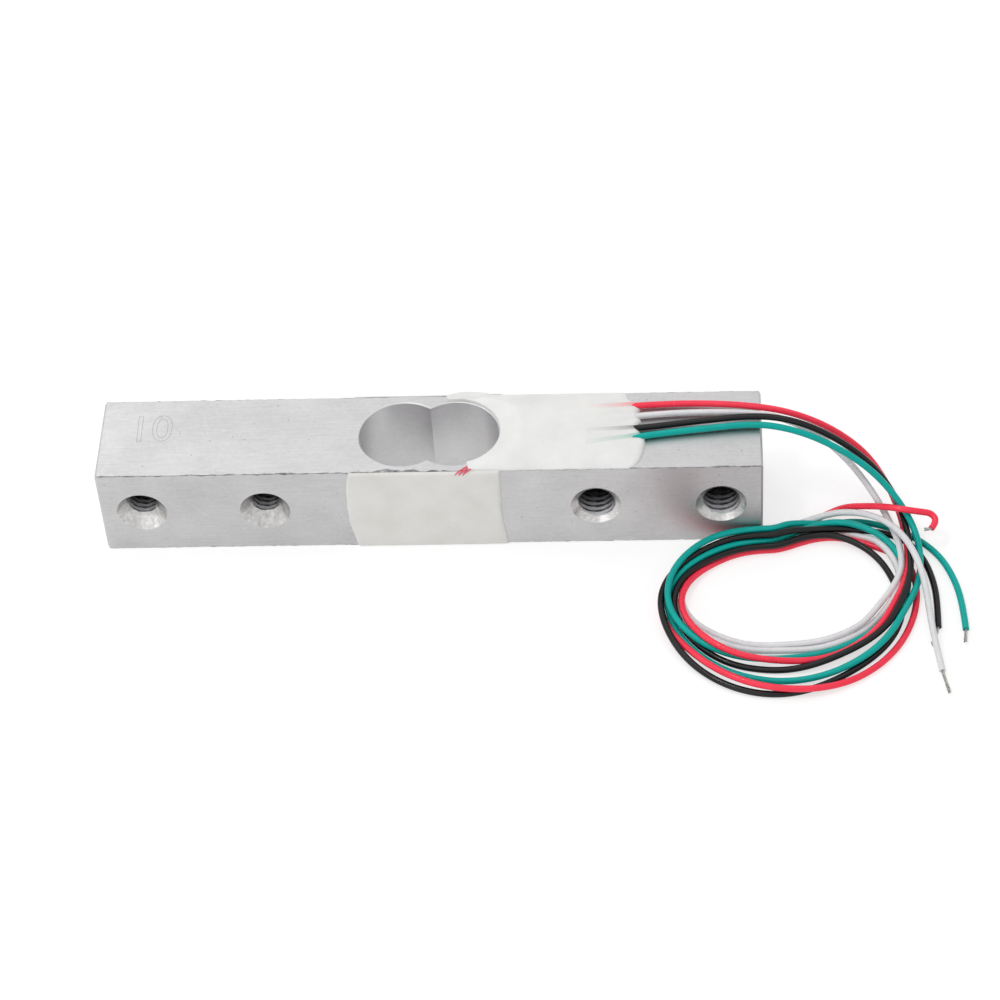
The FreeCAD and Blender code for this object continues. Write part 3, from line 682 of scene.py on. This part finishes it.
def boreSurface(x):
    # A drill-through bore whose rims are broken with a small uneven chamfer
    top = bar["side"]
    rim = bar["boreRimBreak"]
    around, beyond = 144, 0.3
    heights = [(-beyond, rim + beyond), (0, rim), (rim, 0), (top - rim, 0), (top, rim),
               (top + beyond, rim + beyond)]
    points = []
    for z, widen in heights:
        for k in range(around):
            angle = 2 * math.pi * k / around
            uneven = 0.25 * rim * wander(x + 3 * math.cos(angle), 3 * math.sin(angle), z, 0.8) if widen else 0
            radius = bar["boreRadius"] + max(0, widen + uneven)
            points.append(Vector((x + radius * math.cos(angle), radius * math.sin(angle), z)) * mm)
    faces = gridFaces(len(heights), around, closed=True)
    faces += [tuple(reversed(range(around))), tuple(range(len(points) - around, len(points)))]
    mesh = newMesh("bore", points, faces, [barBored])
    mesh.shade_smooth()
    return mesh


stampedMark = {
    "text": "10",
    "size": 6.2,
    "place": (-36.55, -0.55),  # left foot of the first digit on the top face
    "turn": 1.0,  # degrees
    "widen": 0.88,
    "lineRadius": 0.045,
    "depth": 0.012,  # how far the line's middle stands above the face
}


def stampedNumber():
    # Outline of a plain load number, pressed lightly into the top face
    text = bpy.data.curves.new("stampedNumber", "FONT")
    text.body = stampedMark["text"]
    text.size = stampedMark["size"] * mm
    text.fill_mode = "NONE"
    text.resolution_u = 5
    text.bevel_depth = stampedMark["lineRadius"] * mm
    text.bevel_resolution = 1
    holder = placeObject("stampedNumber", text)
    graph = bpy.context.evaluated_depsgraph_get()
    mesh = bpy.data.meshes.new_from_object(holder.evaluated_get(graph))
    bpy.data.objects.remove(holder)
    x, y = stampedMark["place"]
    z = bar["side"] + stampedMark["depth"]
    mesh.transform(Matrix.Translation(Vector((x, y, z)) * mm)
                   @ Matrix.Rotation(math.radians(stampedMark["turn"]), 4, "Z")
                   @ Matrix.Diagonal((stampedMark["widen"], 1, 1, 1)))
    mesh.materials.clear()
    mesh.materials.append(barStamped)
    return mesh


def cutWith(blank, cutters):
    # Cuts the meshes out of the blank one after the other and gives the finished mesh
    body = placeObject("cutting", blank)
    helpers = []
    for mesh in cutters:
        helper = placeObject("cutter", mesh)
        cut = body.modifiers.new("cut", "BOOLEAN")
        cut.operation = "DIFFERENCE"
        cut.solver = "EXACT"
        cut.material_mode = "TRANSFER"
        cut.object = helper
        helpers.append(helper)
    graph = bpy.context.evaluated_depsgraph_get()
    result = bpy.data.meshes.new_from_object(body.evaluated_get(graph))
    for helper in [body] + helpers:
        bpy.data.objects.remove(helper)
    return result


def makeBar():
    # The blank with its bores, tapped holes and number cut out
    cutters = [boreSurface(-bar["boreX"]), boreSurface(bar["boreX"])]
    for hole in tappedHoles:
        cutters += [tapSurface(hole, x) for x in hole["places"]]
    cutters.append(stampedNumber())
    mesh = cutWith(makeBlank(), cutters)
    mesh.name = "bar"
    mesh.set_sharp_from_angle(angle=math.radians(32))
    flatMetals = (barMilled, barEdge, barStamped)
    for face in mesh.polygons:
        face.use_smooth = mesh.materials[face.material_index] not in flatMetals
    showPiece("bar", mesh, None, ["beam"])
    print("bar", len(mesh.polygons), "faces", [m.name for m in mesh.materials])


makeBar()


# Silicone sealant, spread by hand over the gauges and the terminal board
gaugeSealant = {
    # edges as (height, place along the bar)
    "left": [(0.0, -9.1), (1.2, -9.4), (2.6, -9.7), (4.4, -9.93), (6.8, -10.02), (9.5, -9.93), (11.6, -9.75),
             (12.7, -9.45)],
    "right": [(0.0, 9.2), (3.0, 8.85), (6.5, 8.6), (12.7, 8.75)],
    "thick": 0.32,
    "crown": 0.2,
    "edgeRound": 0.45,
    "spill": 0.1,  # where it has run over the top edge
    "spillFrom": 4.2,
    "inset": 0.02,
    "sunk": 0.15,
    "rows": 90,
    "columns": 150,
}

terminalSealant = {
    "thick": 1.2,
    "endThick": 0.62,
    "thinFrom": 18.5,
    "rimThick": 0.45,
    "rimRise": 3.2,
    "rimRadius": 5.38,
    "sideFall": 3.5,
    "sideThick": 0.08,
    "endRound": 0.8,
    "backStart": 1.9,
    "frontStart": 4.9,
    # far edge as (place across the bar, place along it)
    "end": [(-6.35, 24.1), (-5.95, 24.7), (-5.2, 25.3), (-4.2, 25.75), (-3.0, 25.95), (-2.2, 26.0),
            (-1.4, 26.0), (-0.7, 25.4), (0.2, 25.3), (1.2, 25.6), (1.9, 25.4), (2.6, 25.2), (3.5, 25.6),
            (4.1, 25.3), (4.6, 24.4), (5.2, 24.0), (6.35, 23.7)],
    "coverDeep": 0.3,  # silicone over a wire where it goes in, and where it comes out
    "coverThin": 0.02,
    "ridgeWide": 0.95,
    "seen": {"red": "#fb2f4c", "black": "#2a2a2d", "green": "#00a89a"},  # wires that show through
    "seenWide": 0.42,  # how far aside, how deep and how strongly they show
    "seenDeep": 0.085,
    "seenMost": 0.85,
    "inset": 0.02,
    "sunk": 0.15,
    "rows": 190,
    "columns": 210,
}

rearBead = {"middle": 4.7, "reach": 2.9, "inward": 0.2, "sunk": 0.1, "wide": 0.75, "high": 0.62}


def makeSealant(name, hexText, shadeHex):
    # White silicone rubber spread with a spatula: soft shine, faint smears, edges a little see-through
    material, tree, shader = newMaterial(name, hexText, 0.5, ior=1.41)
    place = millimetres(tree)
    spatula = {"Scale": 1 / 1.1, "Detail": 4.0, "Roughness": 0.55, "Distortion": 0.4}
    smears = addNode(tree, "TexNoise", spatula, {"Vector": millimetres(tree, (0.22, 1, 1))}).outputs["Fac"]
    clouds = addNode(tree, "TexNoise", {"Scale": 1 / 3.5, "Detail": 3.0}, {"Vector": place})
    specks = addNode(tree, "TexVoronoi", {"Scale": 1 / 2.6}, {"Vector": place})
    speckMask = addNode(tree, "MapRange", {"From Min": 0.03, "From Max": 0.09, "To Min": 0.25, "To Max": 0.0},
                        {"Value": specks.outputs["Distance"]})
    colour = shadeBetween(tree, clouds.outputs["Fac"], 0.35, 0.7, hexText, shadeHex)
    colour = shadeOver(tree, speckMask.outputs["Result"], colour, "#c4bfb4")
    # A wire that lies close under the skin shows through
    tint = addNode(tree, "VertexColor", {"layer_name": "leadTint"})
    tinted = addNode(tree, "Mix", {"data_type": "RGBA"},
                     {0: tint.outputs["Alpha"], mixFirst: colour, mixSecond: tint.outputs["Color"]})
    finishSurface(tree, shader, tinted.outputs[mixResult], (smears, 0.3, 0.7, 0.58, 0.42),
                  (smears, 0.5, 0.05))
    shader.inputs["Subsurface Weight"].default_value = 0.2
    shader.inputs["Subsurface Radius"].default_value = (0.7 * mm, 0.65 * mm, 0.55 * mm)
    shader.inputs["Subsurface Scale"].default_value = 1.0
    return material


terminalSilicone = makeSealant("siliconeSpreadWhite", "#eeeeec", "#e6e6e4")
gaugeSilicone = makeSealant("siliconeSpreadIvory", "#e8e7e4", "#e1e0db")


def rounded(distance, reach):
    # 0 at the very edge, rising like a quarter round to 1
    t = min(1.0, max(0.0, distance / reach))
    return math.sqrt(1 - (1 - t) ** 2)


def tintPoints(mesh, tints):
    # Colour of the wire under each point, with how much of it shows as its alpha
    colours = mesh.color_attributes.new("leadTint", "FLOAT_COLOR", "POINT")
    colours.data.foreach_set("color", [c for tint in tints for c in tint])


def sealantMesh(name, outer, below, tints):
    # Grid of the outer surface, closed by a skirt pressed a little into the metal
    rows, columns = len(outer), len(outer[0])
    ring = ([(0, j) for j in range(columns)] + [(i, columns - 1) for i in range(1, rows)]
            + [(rows - 1, j) for j in range(columns - 2, -1, -1)] + [(i, 0) for i in range(rows - 2, 0, -1)])
    points = [outer[i][j] * mm for i in range(rows) for j in range(columns)]
    base = len(points)
    points += [(outer[i][j] + below) * mm for i, j in ring]
    faces = gridFaces(rows, columns)
    for k, (i, j) in enumerate(ring):
        nextI, nextJ = ring[(k + 1) % len(ring)]
        after = base + (k + 1) % len(ring)
        faces.append((nextI * columns + nextJ, i * columns + j, base + k, after))
    faces.append(tuple(range(base, base + len(ring))))
    mesh = newMesh(name, points, faces)
    tintPoints(mesh, [tint for row in tints for tint in row] + [untinted] * len(ring))
    for face in mesh.polygons:
        face.use_smooth = len(face.vertices) == 4
    return mesh


def makeGaugeSealant(wall, side):
    # side is -1 on the front wall and 1 on the rear one
    shape = gaugeSealant
    half = bar["side"] / 2
    outer, tints = [], []
    for i in range(shape["rows"]):
        z = shape["inset"] + (bar["side"] - 2 * shape["inset"]) * i / (shape["rows"] - 1)
        up = z / bar["side"]
        left = (float(np.interp(z, *zip(*shape["left"])))
                + 0.08 * wander(z, 3 * side, 0, 2.2) + 0.03 * wander(z, 9 * side, 0, 0.5))
        right = (float(np.interp(z, *zip(*shape["right"])))
                 + 0.08 * wander(z, 17 * side, 0, 2.2) + 0.03 * wander(z, 23 * side, 0, 0.5))
        row = []
        for j in range(shape["columns"]):
            t = j / (shape["columns"] - 1)
            # Columns closer at both ends, where the edges are rounded
            t = 0.5 - 0.5 * math.cos(math.pi * t) * (1 - 0.25 * math.sin(math.pi * t) ** 2)
            x = left + (right - left) * t
            crown = shape["crown"] * math.sin(math.pi * t) ** 0.5 * math.sin(math.pi * up) ** 0.5
            uneven = 0.035 * wander(x, z, 5 * side, 2.4) + 0.012 * wander(x, 3 * z, 9 * side, 1.2)
            depth = shape["thick"] + crown + uneven
            depth *= rounded(min(x - left, right - x), shape["edgeRound"])
            depth *= 0.25 + 0.75 * rounded(min(z, bar["side"] - z), shape["edgeRound"])
            spill = shape["spill"] * min(1.0, max(0.0, (x - shape["spillFrom"]) / 1.5))
            spill *= 1 + 0.5 * wander(x, 70, side, 0.7)
            row.append(Vector((x, side * (half + depth), z + spill * up ** 30)))
        outer.append(row)
        tints.append([untinted] * shape["columns"])
    mesh = sealantMesh(wall + "GaugeSealant", outer, Vector((0, -side * shape["sunk"], 0)), tints)
    if side > 0:
        mesh.flip_normals()
    showPiece(wall + "_gauge_silicone", mesh, gaugeSilicone, [wall + "_gauge_sealant"])


def leadAcross(colour, x):
    # Where a lead lies under the sealant, across the bar and above its top face
    wire = wires[colour]
    first, second = (leadWire["startX"], wire["startY"], leadWire["startZ"]), wire["lead"][0]
    t = (x - first[0]) / (second[0] - first[0])
    return first[1] + (second[1] - first[1]) * t, first[2] + (second[2] - first[2]) * t


def makeTerminalSealant():
    # Wrapped round the bore's rim, thick over the board and thin where the wires come out
    shape = terminalSealant
    half, top = bar["side"] / 2, bar["side"]
    seen = {colour: linearColour(hexText)[:3] for colour, hexText in shape["seen"].items()}
    endYs, endXs = zip(*shape["end"])
    outer, tints = [], []
    for i in range(shape["rows"]):
        y = -(half - shape["inset"]) * math.cos(math.pi * i / (shape["rows"] - 1))
        start = shape["frontStart"] + (shape["backStart"] - shape["frontStart"]) * (y + half) / bar["side"]
        if abs(y) < shape["rimRadius"]:
            start = max(start, bar["boreX"] + math.sqrt(shape["rimRadius"] ** 2 - y * y))
        start += 0.06 * wander(y, 31, 0, 0.8)
        end = float(np.interp(y, endYs, endXs)) + 0.10 * wander(y, 41, 0, 1.0) + 0.05 * wander(y, 47, 0, 0.35)
        row, tintRow = [], []
        for j in range(shape["columns"]):
            t = j / (shape["columns"] - 1)
            t -= 0.12 * math.sin(2 * math.pi * t) / (2 * math.pi)  # closer columns at both ends
            x = start + (end - start) * t
            thin = min(1.0, max(0.0, (x - shape["thinFrom"]) / (end - shape["thinFrom"])))
            depth = shape["thick"] + (shape["endThick"] - shape["thick"]) * (3 * thin ** 2 - 2 * thin ** 3)
            depth += 0.07 * wander(x, y, 50, 3.0) + 0.02 * wander(0.5 * x, y, 60, 0.8)
            depth *= 1 - (abs(y) / half) ** shape["sideFall"]
            rise = min(1.0, (x - start) / shape["rimRise"])
            depth = shape["sideThick"] + depth * (3 * rise ** 2 - 2 * rise ** 3)
            depth += (shape["rimThick"] * rounded(x - start, 0.25) - shape["sideThick"]) * (1 - rise)
            depth *= rounded(half - abs(y), 0.15)
            tint = untinted
            if x > leadWire["startX"]:
                for colour in wires:
                    across, height = leadAcross(colour, x)
                    aside = y - across
                    wireTop = height + leadWire["diameter"] / 2 - top
                    cover = shape["coverDeep"] + (shape["coverThin"] - shape["coverDeep"]) * thin ** 0.7
                    ridge = (wireTop + cover) * math.exp(-(aside / shape["ridgeWide"]) ** 2)
                    depth = max(depth, ridge)
                    if abs(aside) < shape["seenWide"] and colour in seen:
                        radius = leadWire["diameter"] / 2
                        crest = wireTop - radius + math.sqrt(max(0, radius ** 2 - aside ** 2))
                        seenShare = math.exp(-max(0, depth - crest) / shape["seenDeep"])
                        if seenShare > tint[3]:
                            tint = seen[colour] + (min(shape["seenMost"], seenShare),)
            depth *= rounded(end - x, shape["endRound"])
            row.append(Vector((x, y, top + max(0.0, depth))))
            tintRow.append(tint)
        outer.append(row)
        tints.append(tintRow)
    mesh = sealantMesh("terminalSealant", outer, Vector((0, 0, -shape["sunk"])), tints)
    mesh.flip_normals()
    showPiece("terminal_silicone", mesh, terminalSilicone, ["terminal_sealant"])


def makeRearBead():
    # A bead of sealant along the rear top edge, over the jumper wires that cross it
    shape = rearBead
    rows, columns = 60, 24
    points = []
    for i in range(rows):
        t = -math.cos(math.pi * (i + 0.5) / rows)
        x = shape["middle"] + shape["reach"] * t
        swell = math.sqrt(1 - t * t) * (1 + 0.1 * wander(x, 83, 0, 0.8))
        for j in range(columns):
            a = 2 * math.pi * j / columns
            y = bar["side"] / 2 - shape["inward"] + shape["wide"] * swell * math.cos(a)
            z = bar["side"] - shape["sunk"] + shape["high"] * swell * math.sin(a)
            points.append(Vector((x, y, z)) * mm)
    faces = gridFaces(rows, columns, closed=True)
    faces += [tuple(range(columns)), tuple(reversed(range(len(points) - columns, len(points))))]
    mesh = newMesh("rearBead", points, faces)
    mesh.flip_normals()
    mesh.shade_smooth()
    tintPoints(mesh, [untinted] * len(points))
    showPiece("rear_edge_silicone", mesh, terminalSilicone)


makeGaugeSealant("front", -1)
makeGaugeSealant("rear", 1)
makeTerminalSealant()
makeRearBead()
print("sealant spread")


def makeGrained(name, hexText, shadeHex, roughness, metallic, grain, stretch=(1, 1, 1), depth=0.01, ior=None):
    # A finish with fine grain of a given size in millimetres
    material, tree, shader = newMaterial(name, hexText, roughness, metallic, ior)
    place = millimetres(tree, stretch)
    pattern = addNode(tree, "TexNoise", {"Scale": 1 / grain, "Detail": 4.0}, {"Vector": place}).outputs["Fac"]
    colour = shadeBetween(tree, pattern, 0.3, 0.7, hexText, shadeHex)
    finishSurface(tree, shader, colour, (pattern, 0.3, 0.7, roughness - 0.07, roughness + 0.07),
                  (pattern, 0.4, depth))
    return material


# Enamelled copper wire: drawn, with a glossy red varnish
enamelledCopper = makeGrained("enamelledCopperDrawn", "#f25c76", "#e2405c", 0.3, 0.0, 0.5, ior=1.55)
# Polyimide film: cast amber foil, smooth and glossy
polyimideFilm = makeGrained("polyimideCast", "#c07a1e", "#a9650f", 0.25, 0.0, 1.2, ior=1.7)
# Constantan foil: rolled and etched, warm grey metal
constantanFoil = makeGrained("constantanEtched", "#a59c90", "#8c8377", 0.4, 1.0, 0.15, (0.2, 1, 1), 0.003)
# Soft solder: flowed and frozen, bright with faint frosting
softSolder = makeGrained("softSolderFlowed", "#c3c3c6", "#a8a8ad", 0.25, 1.0, 0.3)
# Glass-epoxy laminate: pressed and routed, dull green with a faint weave
epoxyLaminate = makeGrained("glassEpoxyPressed", "#2f6b3c", "#275a33", 0.45, 0.0, 0.4, ior=1.5)
# Copper pads: etched and tinned thin
etchedCopper = makeGrained("copperEtched", "#c98760", "#b07350", 0.35, 1.0, 0.25)

# Small parts under the sealant keep their solids and get these finishes, by the ends of their names
finishes = [
    ("gauge_carrier", polyimideFilm), ("gauge_foil", constantanFoil), ("gauge_solder", softSolder),
    ("jumper_solder", softSolder), ("solder_joint", softSolder), ("gauge_link", enamelledCopper),
    ("jumper_wire", enamelledCopper), ("terminal_board", epoxyLaminate), ("terminal_pads", etchedCopper),
    ("stripped_cores", tinnedStrands), ("beam", barMilled), ("sealant", terminalSilicone),
    ("wire_coil", insulation["green"]), ("_tip", tinnedStrands),
]

for nodeName, solid in nodes.items():
    finish = [material for ending, material in finishes if nodeName.endswith(ending)]
    if not finish:
        finish = [insulation[nodeName.split("_")[0]]]
    for materialSlot in solid.material_slots:
        materialSlot.material = finish[0]
print("finishes set")


# Studio: pale floor, soft lamps, white surround
studio = {
    "floorHex": "#f4f4f4",
    "floorSeenHex": "#b4b4b4",  # as the camera sees it, before the lift
    "floorLift": 0.62,
    "floorMirrored": 0.4,  # share of the lift in what metal mirrors
    "floorReach": 3.0,  # metres
    "worldStrength": 0.62,
    "aim": (10, 0, 6),
    "lamps": [
        # name, place, size, radiance: square soft boxes aimed at the bar
        ("topBox", (-60, 60, 520), 420, 0.95),
        ("frontBox", (-200, -440, 230), 320, 0.95),
        ("leftBox", (-480, -80, 220), 260, 0.6),
        ("backBox", (-270, 420, 420), 280, 0.9),
        ("stripBox", (-120, -60, 400), 40, 40.0),
    ],
}


def makeStudio():
    # White surround for the camera and for mirrored rays, dimmer for what lights the bar
    world = bpy.data.worlds.new("studioSurround")
    bpy.context.scene.world = world
    world.use_nodes = True
    tree = world.node_tree
    background = tree.nodes["Background"]
    rays = addNode(tree, "LightPath")
    seen = addNode(tree, "Math", {"operation": "MAXIMUM"},
                   {0: rays.outputs["Is Camera Ray"], 1: rays.outputs["Is Glossy Ray"]})
    seen = addNode(tree, "Math", {"operation": "MAXIMUM"},
                   {0: seen.outputs[0], 1: rays.outputs["Is Transmission Ray"]})
    strength = addNode(tree, "MapRange", {"To Min": studio["worldStrength"]}, {"Value": seen.outputs[0]})
    background.inputs["Color"].default_value = (1, 1, 1, 1)
    tree.links.new(strength.outputs["Result"], background.inputs["Strength"])

    # Matt white paper; seen by the camera it keeps the shadow but is lifted to white
    material, tree, shader = newMaterial("whiteCoatedPaper", studio["floorHex"], 0.9)
    rays = addNode(tree, "LightPath")
    byCamera = rays.outputs["Is Camera Ray"]
    colour = shadeBetween(tree, byCamera, 0, 1, studio["floorHex"], studio["floorSeenHex"])
    tree.links.new(colour, shader.inputs["Base Color"])
    shader.inputs["Specular IOR Level"].default_value = 0.0
    shader.inputs["Emission Color"].default_value = (1, 1, 1, 1)
    seen = addNode(tree, "Math", {"operation": "MULTIPLY_ADD", 1: studio["floorMirrored"]},
                   {0: rays.outputs["Is Glossy Ray"], 2: byCamera})
    lift = addNode(tree, "MapRange", {"To Max": studio["floorLift"]}, {"Value": seen.outputs[0]})
    tree.links.new(lift.outputs["Result"], shader.inputs["Emission Strength"])
    reach = studio["floorReach"]
    corners = [(-reach, -reach, 0), (reach, -reach, 0), (reach, reach, 0), (-reach, reach, 0)]
    floor = placeObject("studioFloor", newMesh("studioFloor", corners, [(0, 1, 2, 3)], [material]))

    for name, place, size, radiance in studio["lamps"]:
        lamp = bpy.data.lights.new(name, "AREA")
        lamp.shape = "SQUARE"
        lamp.size = size * mm
        lamp.energy = radiance * math.pi * (size * mm) ** 2
        stand = placeObject(name, lamp)
        stand.location = Vector(place) * mm
        aim = Vector(studio["aim"]) * mm - stand.location
        stand.rotation_mode = "QUATERNION"
        stand.rotation_quaternion = aim.to_track_quat("-Z", "Y")
    bpy.context.scene.view_settings.view_transform = "Standard"


makeStudio()
print("studio set")
